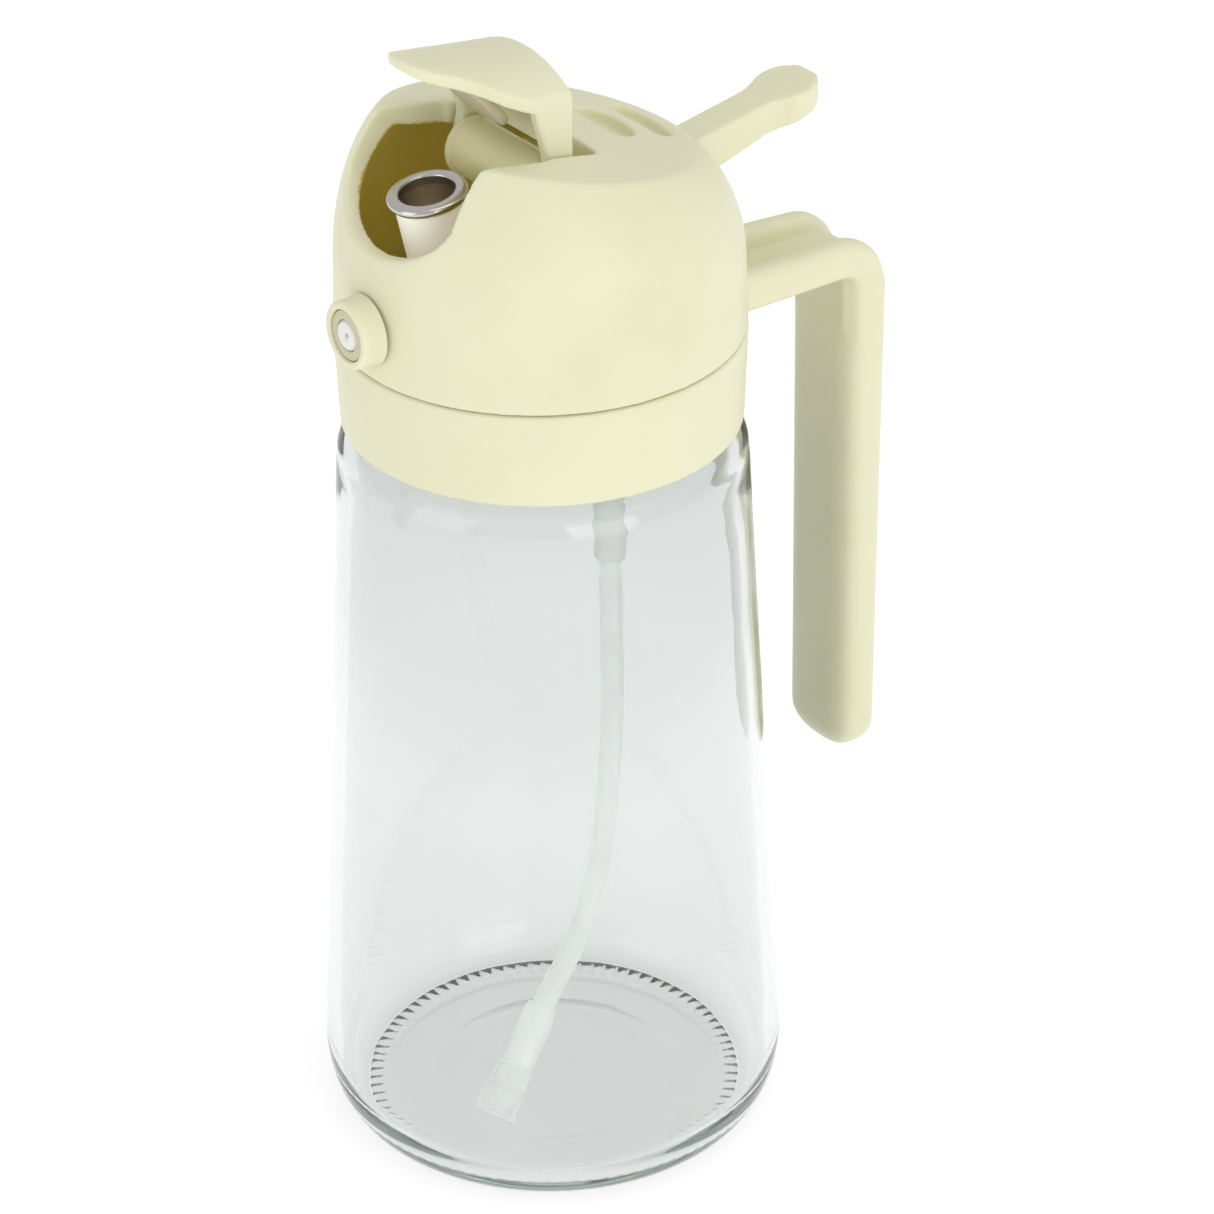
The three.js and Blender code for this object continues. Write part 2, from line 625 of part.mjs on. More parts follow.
function handleGrip() {
  const h = HANDLE;
  const outline = ellipsePoints(h.gripHalfWidth, h.gripHalfDepth, 3, 28);
  const level = (z, scale) => outline.map(([x, y]) => new THREE.Vector3(x * scale, h.gripY + y * scale, z));
  const roundSteps = 5;
  const roundHeight = 6;
  const firstAngle = 0.25;
  const rings = [];
  for (let i = 0; i <= roundSteps; i++) {
    const angle = (Math.PI / 2) * (firstAngle + ((1 - firstAngle) * i) / roundSteps);
    rings.push(level(h.gripBottomZ + roundHeight * (1 - Math.cos(angle)), h.gripTaper * Math.sin(angle)));
  }
  rings.push(level(h.gripTopZ, 1));
  return loft(rings);
}

// Two rails with a recessed web between them, a solid corner, the grip, and a lug screwed to the dome.
function handle() {
  const h = HANDLE;
  const webTop = h.railStartZ + 0.55;
  const web = box([-6.9, h.railStartY + 0.7, webTop - 2.4], [6.9, h.gripY, webTop]);
  const corner = box([-6.6, h.gripY - 3.7, 133.1], [6.6, h.gripY + 3.1, h.railEndZ + 0.9]);
  const lug = box([-4.1, h.lugY, h.lugBottomZ], [4.1, h.lugY + 3.35, h.lugTopZ]);
  const screwHoles = SCREW.z.map((z) =>
    rod([0, h.lugY - 1, z], [0, h.lugY + 2.65, z], SCREW.radius + GAP, undefined, 16));
  const rails = join(handleRail(h.railX), handleRail(-h.railX));
  return cut(join(rails, handleGrip(), web, corner, lug), ...screwHoles);
}

function handleScrew(z) {
  const shank = rod([0, 28.6, z], [0, 36.4, z], SCREW.radius, undefined, 14);
  const head = rod([0, 28.4, z], [0, 30.4, z], SCREW.headRadius, undefined, 20);
  return join(shank, head);
}

// ---------------------------------------------------------------- dip tube and strainer
const dipTube = () => hose(TUBE_ROUTE, TUBE.radius, TUBE.boreRadius, 34, 4);

const between = (a, b, share) => a.map((value, i) => value + (b[i] - value) * share);
const tubeEnd = TUBE_ROUTE.at(-1);
const tubeBend = TUBE_ROUTE.at(-2);

function strainerSleeve() {
  const from = between(tubeBend, tubeEnd, 0.1);
  const to = between(tubeEnd, FOOT_END, 0.12);
  return cut(rod(from, to, 2.9), rod(between(to, from, 1.2), between(from, to, 1.2), TUBE.radius + 0.3));
}

function strainerFoot() {
  const from = between(tubeEnd, FOOT_END, 0.16);
  const shell = rod(from, FOOT_END, 3.1, 3.8);
  return cut(shell, rod(between(from, FOOT_END, 0.25), between(from, FOOT_END, 1.1), 2.2));
}

function ventValve() {
  const { x, y, radius } = VENT;
  const stem = rod([x, y, DECK.bottomZ - 1.6], [x, y, DECK.topZ + 1], radius, undefined, 18);
  const cap = rod([x, y, DECK.topZ + GAP], [x, y, DECK.topZ + 1.5], 2 * radius, undefined, 20);
  return join(stem, cap);
}

// ---------------------------------------------------------------- materials and scene graph
const material = (color, roughness, metalness = 0, opacity = 1) =>
  new THREE.MeshStandardMaterial({ color, roughness, metalness, opacity, transparent: opacity < 1 });
const cream = material(0xe8e6c6, 0.42);
const creamInside = material(0xd8cf90, 0.5);
const glass = material(0xdfe8e2, 0.05, 0, 0.3);
const steel = material(0xc9cccf, 0.18, 1);
const white = material(0xf2f0ea, 0.4);
const silicone = material(0xd2c9a4, 0.55);
const clear = material(0xeef2f1, 0.25, 0, 0.6);

const bottle = new THREE.Group();
function add(name, solid, finish) {
  const mesh = new THREE.Mesh(toGeometry(solid), finish);
  mesh.name = name;
  bottle.add(mesh);
}

add("glass_bottle", glassBottle(), glass);
add("neck_gasket", neckGasket(), silicone);
add("collar", collar(), cream);
add("deck", deck(), creamInside);
add("dome_shell", dome(), cream);
add("pour_spout", pourSpout(), white);
add("spout_rim", spoutRim(), steel);
add("lid", lid(), cream);
add("lid_pad", lidPad(), silicone);
add("lid_hinge_barrel", hingeBarrel(), creamInside);
add("lid_pin", lidPin(), steel);
add("lever", lever(), cream);
add("lever_pin", leverPin(), steel);
add("pump_barrel", pumpBarrel(), white);
add("piston", piston(), white);
add("piston_seal", pistonSeal(), silicone);
add("pump_spring", pumpSpring(), steel);
add("valve_ball", valveBall(), steel);
add("spray_hose", sprayHose(), clear);
add("nozzle_body", nozzleBody(), white);
add("nozzle_bezel", nozzleBezel(), cream);
add("nozzle_retainer", nozzleRetainer(), silicone);
add("nozzle_insert", nozzleInsert(), white);
add("handle", handle(), cream);
SCREW.z.forEach((z, i) => add("handle_screw_" + (i + 1), handleScrew(z), steel));
add("dip_tube", dipTube(), clear);
add("strainer_sleeve", strainerSleeve(), clear);
add("strainer_foot", strainerFoot(), clear);
add("vent_valve", ventValve(), silicone);

export default bottle;
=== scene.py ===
import json
import math

import bmesh
import bpy
from mathutils import Matrix, Vector


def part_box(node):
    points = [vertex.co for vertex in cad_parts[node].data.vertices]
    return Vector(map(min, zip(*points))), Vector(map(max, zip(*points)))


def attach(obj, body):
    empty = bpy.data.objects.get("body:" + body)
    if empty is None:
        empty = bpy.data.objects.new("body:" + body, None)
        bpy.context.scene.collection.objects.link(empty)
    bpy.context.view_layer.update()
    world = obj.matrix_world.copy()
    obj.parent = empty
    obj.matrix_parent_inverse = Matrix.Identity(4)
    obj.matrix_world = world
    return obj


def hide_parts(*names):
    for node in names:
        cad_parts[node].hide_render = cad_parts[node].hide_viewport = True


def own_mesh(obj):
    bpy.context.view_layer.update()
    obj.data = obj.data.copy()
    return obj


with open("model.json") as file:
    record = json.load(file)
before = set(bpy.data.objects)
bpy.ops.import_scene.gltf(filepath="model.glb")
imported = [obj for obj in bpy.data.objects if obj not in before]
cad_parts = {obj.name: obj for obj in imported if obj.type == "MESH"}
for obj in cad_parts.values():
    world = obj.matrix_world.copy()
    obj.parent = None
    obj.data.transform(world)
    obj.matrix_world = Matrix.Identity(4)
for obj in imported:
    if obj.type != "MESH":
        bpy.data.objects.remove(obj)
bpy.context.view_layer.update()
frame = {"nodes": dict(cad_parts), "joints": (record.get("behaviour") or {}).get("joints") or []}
MM = 0.001  # all the modelling below is in millimetres, and is scaled to metres at the end


def sizes_of(node):
    low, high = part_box(node)
    return low / MM, high / MM


JOINTS = {joint["name"]: joint for joint in frame["joints"]}
lid_axis = Vector(JOINTS["lid_hinge"]["pos_m"]) / MM
lever_axis = Vector(JOINTS["lever_hinge"]["pos_m"]) / MM

# ---------------------------------------------------------------- camera
AZIMUTH = math.radians(54)
PITCH = math.radians(30.4455)
ROLL = math.radians(0.5637)
FOCAL_LENGTH = 136.133
SENSOR = 36.0
DISTANCE = 769.456 * MM
AIM_RIGHT = 10.2326 * MM
AIM_HEIGHT = 95.802 * MM


def make_camera():
    right = Vector((math.cos(AZIMUTH), math.sin(AZIMUTH), 0))
    ahead = Vector((-math.sin(AZIMUTH), math.cos(AZIMUTH), 0))
    view = ahead * math.cos(PITCH) - Vector((0, 0, math.sin(PITCH)))
    up = right.cross(view)
    tilted_right = right * math.cos(ROLL) - up * math.sin(ROLL)
    tilted_up = right * math.sin(ROLL) + up * math.cos(ROLL)
    place = right * AIM_RIGHT + Vector((0, 0, AIM_HEIGHT)) - view * DISTANCE
    camera = bpy.data.objects.new("camera", bpy.data.cameras.new("camera"))
    camera.data.lens = FOCAL_LENGTH
    camera.data.sensor_width = SENSOR
    camera.data.clip_start = 0.01
    turn = Matrix((tilted_right, tilted_up, -view)).transposed().to_4x4()
    camera.matrix_world = Matrix.Translation(place) @ turn
    bpy.context.scene.collection.objects.link(camera)
    bpy.context.scene.camera = camera


make_camera()

# ---------------------------------------------------------------- materials


class Nodes:
    """A material's node tree, with a short way to add and link nodes."""

    def __init__(self, name):
        self.material = bpy.data.materials.new(name)
        self.material.use_nodes = True
        self.tree = self.material.node_tree
        self.shader = self.tree.nodes["Principled BSDF"]

    def add(self, kind):
        return self.tree.nodes.new(kind)

    def link(self, source, output, target, socket):
        self.tree.links.new(source.outputs[output], target.inputs[socket])

    def set(self, **values):
        for key, value in values.items():
            self.shader.inputs[key.replace("_", " ")].default_value = value

    def noise(self, scale, detail=3.0, roughness=0.5):
        place = self.add("ShaderNodeTexCoord")
        texture = self.add("ShaderNodeTexNoise")
        texture.inputs["Scale"].default_value = scale
        texture.inputs["Detail"].default_value = detail
        texture.inputs["Roughness"].default_value = roughness
        self.link(place, "Object", texture, "Vector")
        return texture

    def ramp(self, source, output, low, high):
        spread = self.add("ShaderNodeMapRange")
        spread.inputs["To Min"].default_value = low
        spread.inputs["To Max"].default_value = high
        self.link(source, output, spread, "Value")
        return spread

    def colours(self, source, output, first, second):
        mix = self.add("ShaderNodeValToRGB")
        mix.color_ramp.elements[0].position = 0.3
        mix.color_ramp.elements[1].position = 0.7
        mix.color_ramp.elements[0].color = (*first, 1)
        mix.color_ramp.elements[1].color = (*second, 1)
        self.link(source, output, mix, "Fac")
        return mix

    def bump(self, source, output, distance, strength):
        bump = self.add("ShaderNodeBump")
        bump.inputs["Strength"].default_value = strength
        bump.inputs["Distance"].default_value = distance
        self.link(source, output, bump, "Height")
        self.link(bump, "Normal", self.shader, "Normal")


WARM_SCATTER = (1.0, 0.85, 0.45)
WHITE_SCATTER = (1.0, 0.9, 0.8)
GLOSS_SPREAD = 0.07


def plastic(name, light, dark, roughness, scatter, glow=WARM_SCATTER):
    """Satin injection-moulded plastic: slow colour drift, uneven gloss and a fine moulded grain."""
    m = Nodes(name)
    drift = m.noise(45.0, 2.0)
    m.link(m.colours(drift, "Fac", dark, light), "Color", m.shader, "Base Color")
    gloss = m.noise(260.0, 4.0)
    spread = m.ramp(gloss, "Fac", roughness - GLOSS_SPREAD, roughness + GLOSS_SPREAD)
    m.link(spread, "Result", m.shader, "Roughness")
    grain = m.noise(900.0, 3.0, 0.6)
    m.bump(grain, "Fac", 0.03 * MM, 0.5)
    m.set(Subsurface_Weight=scatter, Subsurface_Scale=0.004, Subsurface_Radius=glow, IOR=1.49)
    m.set(Specular_IOR_Level=0.45)
    return m.material


# The glass's own tone low down, and a darker tone higher up that is a painted reflection of a grey surround
GLASS_LOW_TONE = (0.880, 0.891, 0.886)
GLASS_PAINTED_REFLECTION_TONE = (0.795, 0.805, 0.801)
PAINTED_REFLECTION_FROM = 55 * MM  # painted reflection: the glass's colour is made a little darker from here up, standing in for a grey reflection
PAINTED_REFLECTION_TO = 125 * MM


def bottle_glass():
    """Clear pressed glass: faintly uneven inside and out, green where it is thick, and coloured darker higher
    up as a painted reflection.
    """
    m = Nodes("bottle_glass")
    m.set(Transmission_Weight=1.0, IOR=1.5)
    place = m.add("ShaderNodeTexCoord")
    height = m.add("ShaderNodeSeparateXYZ")
    m.link(place, "Object", height, "Vector")
    painted_reflection_fade = m.add("ShaderNodeMapRange")
    painted_reflection_fade.inputs["From Min"].default_value = PAINTED_REFLECTION_FROM
    painted_reflection_fade.inputs["From Max"].default_value = PAINTED_REFLECTION_TO
    m.link(height, "Z", painted_reflection_fade, "Value")
    # painted reflection: the base colour darkens with height
    tone = m.colours(painted_reflection_fade, "Result", GLASS_LOW_TONE, GLASS_PAINTED_REFLECTION_TONE)
    m.link(tone, "Color", m.shader, "Base Color")
    waves = m.noise(55.0, 2.0, 0.4)
    m.bump(waves, "Fac", 0.25 * MM, 0.35)
    smear = m.noise(120.0, 5.0)
    m.link(m.ramp(smear, "Fac", 0.0, 0.035), "Result", m.shader, "Roughness")
    tint = m.add("ShaderNodeVolumeAbsorption")
    tint.inputs["Color"].default_value = (0.50, 0.78, 0.66, 1)
    tint.inputs["Density"].default_value = 10.0
    output = m.tree.nodes["Material Output"]
    m.link(tint, "Volume", output, "Volume")
    return m.material


def steel(name, tone, roughness):
    """Polished metal with faint fine lines."""
    m = Nodes(name)
    m.set(Base_Color=(*tone, 1), Metallic=1.0)
    lines = m.noise(1800.0, 2.0)
    m.link(m.ramp(lines, "Fac", roughness * 0.6, roughness * 1.5), "Result", m.shader, "Roughness")
    m.bump(lines, "Fac", 0.01 * MM, 0.3)
    return m.material


HAZE_SPREAD = 0.06


def soft_plastic(name, tone, clarity, roughness):
    """Translucent hose plastic or silicone."""
    m = Nodes(name)
    haze = m.noise(140.0, 3.0)
    darker = tuple(c * 0.93 for c in tone)
    m.link(m.colours(haze, "Fac", darker, tone), "Color", m.shader, "Base Color")
    spread = m.ramp(haze, "Fac", roughness - HAZE_SPREAD, roughness + HAZE_SPREAD)
    m.link(spread, "Result", m.shader, "Roughness")
    m.bump(m.noise(700.0, 3.0), "Fac", 0.02 * MM, 0.4)
    m.set(Transmission_Weight=clarity, IOR=1.42, Subsurface_Weight=0.3, Subsurface_Scale=0.002)
    return m.material


def let_light_through(material, colour, strength):
    """A faint glow that stands for the light that thin translucent walls let through."""
    shader = material.node_tree.nodes["Principled BSDF"]
    shader.inputs["Emission Color"].default_value = (*colour, 1)
    shader.inputs["Emission Strength"].default_value = strength


COOL_GLOW = (0.95, 1.0, 0.98)
CREAM = plastic("cream_plastic", (0.79, 0.78, 0.56), (0.76, 0.75, 0.52), 0.40, 0.2)
# painted shade: a darker ochre copy of the cream plastic, for the dome's inside and the deck, which sit in
# shade
PAINTED_SHADE_OCHRE = plastic("dome_painted_shade", (0.62, 0.50, 0.15), (0.56, 0.45, 0.12), 0.5, 0.1)
let_light_through(PAINTED_SHADE_OCHRE, (0.45, 0.38, 0.04), 0.10)
INNER = plastic("inner_cream", (0.79, 0.76, 0.47), (0.75, 0.71, 0.42), 0.42, 0.2)
WHITE = plastic("white_plastic", (0.86, 0.85, 0.82), (0.82, 0.81, 0.78), 0.34, 0.2, WHITE_SCATTER)
GLASS = bottle_glass()
SPOUT_WHITE = plastic("spout_plastic", (0.88, 0.86, 0.80), (0.84, 0.82, 0.76), 0.34, 0.2, WHITE_SCATTER)
let_light_through(SPOUT_WHITE, (0.9, 0.88, 0.76), 0.28)
POLISHED = steel("polished_steel", (0.62, 0.61, 0.59), 0.14)
LINING = steel("spout_lining", (0.62, 0.56, 0.48), 0.32)
BRIGHT = steel("screw_steel", (0.60, 0.60, 0.58), 0.24)
SILICONE = soft_plastic("beige_silicone", (0.66, 0.61, 0.44), 0.1, 0.5)
HOSE = soft_plastic("clear_hose", (0.98, 0.99, 0.985), 0.6, 0.16)
let_light_through(HOSE, COOL_GLOW, 0.14)
NATURAL = soft_plastic("natural_plastic", (0.93, 0.94, 0.92), 0.5, 0.3)
let_light_through(NATURAL, COOL_GLOW, 0.14)
AMBER = soft_plastic("amber_ring", (0.66, 0.62, 0.42), 0.05, 0.35)

# ---------------------------------------------------------------- mesh tools


def mesh_object(name, vertices, faces):
    mesh = bpy.data.meshes.new(name)
    mesh.from_pydata([tuple(v) for v in vertices], [], faces)
    mesh.update()
    obj = bpy.data.objects.new(name, mesh)
    bpy.context.scene.collection.objects.link(obj)
    return obj


def face_outwards(obj):
    shape = bmesh.new()
    shape.from_mesh(obj.data)
    bmesh.ops.recalc_face_normals(shape, faces=shape.faces)
    shape.to_mesh(obj.data)
    shape.free()
    return obj


def loft(name, rings, closed=False):
    """A solid through rings of the same number of points, capped by fans unless it closes on itself."""
    count = len(rings[0])
    vertices = [point for ring in rings for point in ring]
    faces = []
    spans = len(rings) if closed else len(rings) - 1
    for level in range(spans):
        low = level * count
        high = ((level + 1) % len(rings)) * count
        for i in range(count):
            after = (i + 1) % count
            faces.append((low + i, low + after, high + after, high + i))
    if not closed:
        for level in (0, len(rings) - 1):
            vertices.append(sum(rings[level], Vector()) / count)
            centre = len(vertices) - 1
            faces += [(level * count + i, level * count + (i + 1) % count, centre) for i in range(count)]
    return face_outwards(mesh_object(name, vertices, faces))


def circle(radius, z, count):
    turn = 2 * math.pi / count
    return [Vector((radius * math.cos(i * turn), radius * math.sin(i * turn), z)) for i in range(count)]


def revolve(name, profile, count):
    """A ring about +Z whose section is a closed outline of (radius, z) points."""
    return loft(name, [circle(radius, z, count) for radius, z in profile], closed=True)


def rounded(points, radius, steps=4):
    """A closed (u, w) outline with its corners rounded off by quadratic arcs."""
    result = []
    for i, corner in enumerate(points):
        here = Vector(corner)
        before = Vector(points[i - 1]) - here
        after = Vector(points[(i + 1) % len(points)]) - here
        reach = min(radius, before.length * 0.45, after.length * 0.45)
        start = here + before.normalized() * reach
        end = here + after.normalized() * reach
        for k in range(steps + 1):
            t = k / steps
            result.append(start * (1 - t) ** 2 + here * 2 * t * (1 - t) + end * t * t)
    return [tuple(p) for p in result]


def ngon_prism(name, outline, low, high):
    """A prism of an (x, y) outline from z = low to z = high."""
    count = len(outline)
    vertices = [(x, y, low) for x, y in outline] + [(x, y, high) for x, y in outline]
    faces = [tuple(range(count))[::-1], tuple(range(count, 2 * count))]
    faces += [(i, (i + 1) % count, count + (i + 1) % count, count + i) for i in range(count)]
    return face_outwards(mesh_object(name, vertices, faces))


def move(obj, matrix):
    obj.data.transform(matrix)
    return obj


# These turn a prism's (x, y) outline into an (x, z) one along y, or into a (y, z) one along x.
STANDING = Matrix.Rotation(math.pi / 2, 4, "X")
SIDEWAYS = Matrix(((0, 0, 1, 0), (1, 0, 0, 0), (0, 1, 0, 0), (0, 0, 0, 1)))


def prism_along_y(name, outline, low, high):
    return move(ngon_prism(name, outline, -high, -low), STANDING)


def prism_along_x(name, outline, low, high):
    return move(ngon_prism(name, outline, low, high), SIDEWAYS)


def bar(name, start, end, radius, count=48):
    run = Vector(end) - Vector(start)
    rings = [circle(radius, 0, count), circle(radius, run.length, count)]
    turn = Vector((0, 0, 1)).rotation_difference(run).to_matrix().to_4x4()
    return move(loft(name, rings), Matrix.Translation(start) @ turn)


def bake_modifiers(obj):
    graph = bpy.context.evaluated_depsgraph_get()
    made = bpy.data.meshes.new_from_object(obj.evaluated_get(graph))
    obj.modifiers.clear()
    obj.data = made


def combine(obj, others, operation):
    for other in others:
        step = obj.modifiers.new("combine", "BOOLEAN")
        step.operation = operation
        step.solver = "MANIFOLD"
        step.object = other
        bake_modifiers(obj)
        bpy.data.objects.remove(other)
    return obj


def cut(obj, *tools):
    return combine(obj, tools, "DIFFERENCE")


def join(obj, *pieces):
    return combine(obj, pieces, "UNION")


def soften(obj, voxel, rounds):
    """Rounds every edge of a solid, as a mould does."""
    remesh = obj.modifiers.new("even", "REMESH")
    remesh.mode = "VOXEL"
    remesh.voxel_size = voxel
    smooth = obj.modifiers.new("round", "SMOOTH")
    smooth.factor = 0.5
    smooth.iterations = rounds
    bake_modifiers(obj)


def hose_mesh(name, points, radius, bore, count=20, steps=90):
    """A hose of round section along a smooth curve, open at both ends."""
    route = smooth_route([Vector(point) for point in points], steps)
    turn = 2 * math.pi / count
    rings = []
    across = Vector((1, 0, 0))
    for i, place in enumerate(route):
        along = (route[min(i + 1, steps)] - route[max(i - 1, 0)]).normalized()
        across = (across - along * across.dot(along)).normalized()
        other = along.cross(across)
        arms = [across * math.cos(k * turn) + other * math.sin(k * turn) for k in range(count)]
        rings.append((place, arms))
    outside = [[place + arm * radius for arm in arms] for place, arms in rings]
    inside = [[place + arm * bore for arm in arms] for place, arms in reversed(rings)]
    return loft(name, outside + inside, closed=True)


def smooth_route(points, steps):
    """Points along a Catmull-Rom curve."""
    padded = [points[0] * 2 - points[1], *points, points[-1] * 2 - points[-2]]
    spans = len(points) - 1
    route = []
    for i in range(steps + 1):
        place = i / steps * spans
        span = min(int(place), spans - 1)
        t = place - span
        a, b, c, d = padded[span : span + 4]
        route.append(
            0.5 * (2 * b + (c - a) * t + (2 * a - 5 * b + 4 * c - d) * t**2 + (3 * b - a - 3 * c + d) * t**3)
        )
    return route


def curve(points, steps):
    """The same curve through (u, w) pairs."""
    return [(place.x, place.y) for place in smooth_route([Vector((*pair, 0)) for pair in points], steps)]


def straight(start, end, count):
    """Pairs evenly along a line, without its first one."""
    u, w = start
    run, rise = end[0] - u, end[1] - w
    return [(u + run * i / count, w + rise * i / count) for i in range(1, count + 1)]


def finish_piece(obj, body, node, slot, *materials):
    """Scales a piece to metres, shades it smooth and lets it stand for its CAD node."""
    obj.data.transform(Matrix.Scale(MM, 4))
    obj.data.polygons.foreach_set("use_smooth", [True] * len(obj.data.polygons))
    obj.data.materials.clear()
    for material in materials:
        obj.data.materials.append(material)
    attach(obj, body)
    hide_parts(node)


def sharpen(obj, degrees=35):
    """Keeps crisp corners where a turned piece has them."""
    obj.data.set_sharp_from_angle(angle=math.radians(degrees))
    return obj


# ---------------------------------------------------------------- glass bottle
BASE_RADIUS = 40.0
HEEL_HEIGHT = 11.8
SHOULDER_RADIUS = 34.0
SHOULDER_Z = 126.0
NECK_RADIUS = 26.4
GLASS_WALL = 2.4
FLOOR_Z = 3.2
INNER_HEEL_WIDTH = 6.0
INNER_WALL_TOP = 122.0
TICKS = 84  # short ribs in a ring around the underside
PER_TICK = 4
TICK_DEPTH = 0.3
TICK_INNER, TICK_OUTER = 30.8, 33.2


def heel_profile(flat_radius):
    """The outer heel, from the foot's flat up to the straight wall."""
    heel = []
    for i in range(15):
        angle = math.pi / 2 * i / 14
        radius = BASE_RADIUS - (BASE_RADIUS - flat_radius) * (1 - math.sin(angle))
        heel.append((radius, HEEL_HEIGHT * (1 - math.cos(angle))))
    return heel


def floor_profile(wall_radius):
    """The inside of the heel, from the straight wall in to the middle of the floor."""
    floor = []
    for i in range(1, 19):
        angle = math.pi / 2 * i / 18
        radius = wall_radius - INNER_HEEL_WIDTH * (1 - math.cos(angle))
        floor.append((radius, HEEL_HEIGHT - (HEEL_HEIGHT - FLOOR_Z) * math.sin(angle)))
    return floor + [(26.0, FLOOR_Z), (14.0, FLOOR_Z + 0.3), (3.0, FLOOR_Z + 0.5)]


def bottle_profile():
    """The glass as (radius, z) points: the underside, up the outside, over the lip and down the inside."""
    neck_top = sizes_of("glass_bottle")[1].z
    flat_radius = BASE_RADIUS - HEEL_HEIGHT * 0.55
    inner_base = BASE_RADIUS - GLASS_WALL
    inner_shoulder = SHOULDER_RADIUS - GLASS_WALL
    underside = [(12, 0.9), (20, 0.85), (20.5, 0.7), (21.1, 0.7), (21.6, 0.82), (26.0, 0.7)]
    underside += [(29.2, 0.3), (30.4, 0.1), (31.0, 0.06), (31.4, 0.05), (33.0, 0.03)]
    underside.append((flat_radius - 0.2, 0.0))
    wall = straight((BASE_RADIUS, HEEL_HEIGHT), (SHOULDER_RADIUS, SHOULDER_Z), 12)
    shoulder = curve(
        [(SHOULDER_RADIUS, SHOULDER_Z), (33.5, 129.0), (31.6, 131.2), (28.8, 132.2), (NECK_RADIUS, 133.8)], 16
    )
    bead = [(NECK_RADIUS, 137.6), (27.3, 138.7), (27.3, 139.7), (NECK_RADIUS, 140.8)]
    edge, crown = neck_top - 0.8, neck_top - 0.1
    lip = [(NECK_RADIUS, edge), (25.9, crown), (24.8, crown), (24.1, edge), (24.0, 134.0)]
    inside = curve(
        [(24.0, 133.8), (26.2, 130.8), (29.6, 129.6), (31.2, 127.2), (inner_shoulder, INNER_WALL_TOP)], 12
    )
    inner_wall = straight((inner_shoulder, INNER_WALL_TOP), (inner_base, HEEL_HEIGHT), 10)
    outer = underside + heel_profile(flat_radius) + wall + shoulder[1:] + bead + lip
    return outer + inside + inner_wall + floor_profile(inner_base)


def make_bottle():
    rings = []
    for radius, z in bottle_profile():
        ring = circle(radius, z, TICKS * PER_TICK)
        if TICK_INNER < radius < TICK_OUTER and z < 0.2:
            for i, point in enumerate(ring):
                if i % PER_TICK < 2:
                    point.z += TICK_DEPTH
        rings.append(ring)
    bottle = loft("bottle", rings)
    finish_piece(bottle, "bottle", "glass_bottle", "glass", GLASS)


# ---------------------------------------------------------------- dome
WAIST_Z = 161.0
WAIST_RADIUS = 33.2
SKIRT_RADIUS = 33.6
CREASE_RADIUS = 25.2
ARC_SWEEP = math.radians(57)
TOP_Z = 183.5
TOP_SLOPE = 0.205
TOP_SWELL = 0.9
DOME_WALL = 2.4
TOP_WALL = 3.6
DOME_SIDES = 160
DOME_LEVELS = 24


def top_face(y):
    """The height of the sloping top at y."""
    return TOP_Z - TOP_SLOPE * y


def dome_ring(level, inset, top_inset):
    """A ring of the dome's side, from level 0 at the waist to level 1 at the crease around the top."""
    turn = level * ARC_SWEEP
    pull = (1 - math.cos(turn)) / (1 - math.cos(ARC_SWEEP))
    radius = WAIST_RADIUS - (WAIST_RADIUS - CREASE_RADIUS) * pull - inset
    ring = []
    for point in circle(radius, 0, DOME_SIDES):
        crease = top_face(CREASE_RADIUS * point.y / radius) - top_inset
        point.z = WAIST_Z + (crease - WAIST_Z) * math.sin(turn) / math.sin(ARC_SWEEP)
        ring.append(point)
    return ring


def dome_skin(name, inset, top_inset, bottom_z):
    """A solid dome. The outer one's top face swells a little towards its middle, and the hollow's is flat."""
    rings = [circle(SKIRT_RADIUS - inset, bottom_z, DOME_SIDES)]
    rings += [dome_ring(i / DOME_LEVELS, inset, top_inset) for i in range(DOME_LEVELS + 1)]
    for i in range(1, 8):
        radius = (CREASE_RADIUS - inset) * (1 - i / 8)
        swell = TOP_SWELL * (1 - (radius / CREASE_RADIUS) ** 2)
        ring = circle(radius, 0, DOME_SIDES)
        for point in ring:
            point.z = top_face(point.y) - top_inset + (0 if top_inset else swell)
        rings.append(ring)
    return loft(name, rings)


ABOVE_DOME = 205
WINDOW_HALF = 13.7
WINDOW_FRONT_Y, WINDOW_BACK_Y = -45, -8
LOBE_HALF = 14.2
LOBE_Z = 180.0
SILL_Z = 171.2
CHANNEL_FLOOR_Z = 172
CHANNEL_START_Y, CHANNEL_END_Y = -20, 2.4
POCKET_DEPTH = 1.8
LEVER_SLOT = [(24, 159), (40, 159), (40, 178.2), (24, 174.4)]
LEVER_SLOT_HALF = 4.1
NOZZLE_Z = 158.4
NOZZLE_HOLE_RADIUS = 3.2


def window_tool():
    """The pouring window: straight sides over a rounded lobe at the front of the dome."""
    lobe = []
    for i in range(33):
        angle = math.pi * i / 32
        lobe.append((LOBE_HALF * math.cos(angle), LOBE_Z - (LOBE_Z - SILL_Z) * math.sin(angle)))
    outline = [(WINDOW_HALF, ABOVE_DOME), *lobe, (-WINDOW_HALF, ABOVE_DOME)]
    return prism_along_y("window", outline, WINDOW_FRONT_Y, WINDOW_BACK_Y)


def channel_tool():
    """The channel in the top that the lid folds into, behind the window."""
    end_half = WINDOW_HALF - 0.6
    outline = [
        (WINDOW_HALF, CHANNEL_START_Y),
        (end_half, CHANNEL_END_Y),
        (-end_half, CHANNEL_END_Y),
        (-WINDOW_HALF, CHANNEL_START_Y),
    ]
    return ngon_prism("channel", rounded(outline, 1.8), CHANNEL_FLOOR_Z, ABOVE_DOME)


